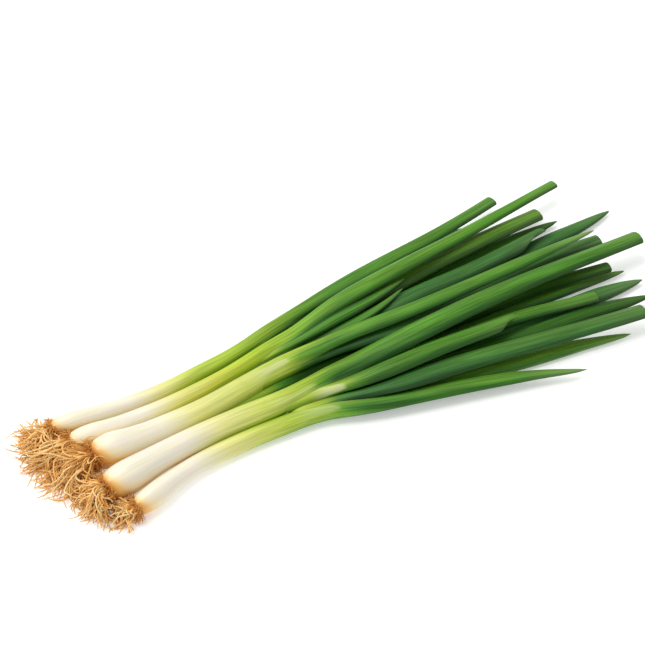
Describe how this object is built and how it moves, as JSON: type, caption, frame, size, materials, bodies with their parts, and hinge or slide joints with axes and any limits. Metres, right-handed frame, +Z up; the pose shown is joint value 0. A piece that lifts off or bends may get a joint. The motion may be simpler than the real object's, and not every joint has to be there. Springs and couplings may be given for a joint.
{
  "type": "spring onion bunch",
  "caption": "Bunch of spring onions lying flat, side by side, with white bulbs and tufts of roots at one end and long green leaves fanning out at the other.",
  "frame": {"origin": "centre of the bunch's bounding box, on the surface that it lies on", "axes": "+Z up, +X from the roots to the leaf tips, +Y across the bunch"},
  "size_m": [0.393, 0.1428, 0.0231],
  "materials": {
    "stem": null,
    "outer_leaf": null,
    "leaf": null,
    "roots": null
  },
  "bodies": {
    "root": {"onion_1_stem": "stem", "onion_1_roots": "roots", "onion_1_outer_leaf": "outer_leaf", "onion_1_leaf_1": "leaf", "onion_1_leaf_2": "leaf", "onion_2_stem": "stem", "onion_2_roots": "roots", "onion_2_outer_leaf": "outer_leaf", "onion_2_leaf_1": "leaf", "onion_2_leaf_2": "leaf", "onion_2_leaf_3": "leaf", "onion_3_stem": "stem", "onion_3_roots": "roots", "onion_3_outer_leaf": "outer_leaf", "onion_3_leaf_1": "leaf", "onion_3_leaf_2": "leaf", "onion_3_leaf_3": "leaf", "onion_3_leaf_4": "leaf", "onion_4_stem": "stem", "onion_4_roots": "roots", "onion_4_outer_leaf": "outer_leaf", "onion_4_leaf_1": "leaf", "onion_4_leaf_2": "leaf", "onion_4_leaf_3": "leaf", "onion_5_stem": "stem", "onion_5_roots": "roots", "onion_5_outer_leaf": "outer_leaf", "onion_5_leaf_1": "leaf", "onion_5_leaf_2": "leaf", "onion_5_leaf_3": "leaf", "onion_5_leaf_4": "leaf"}
  },
  "joints": []
}
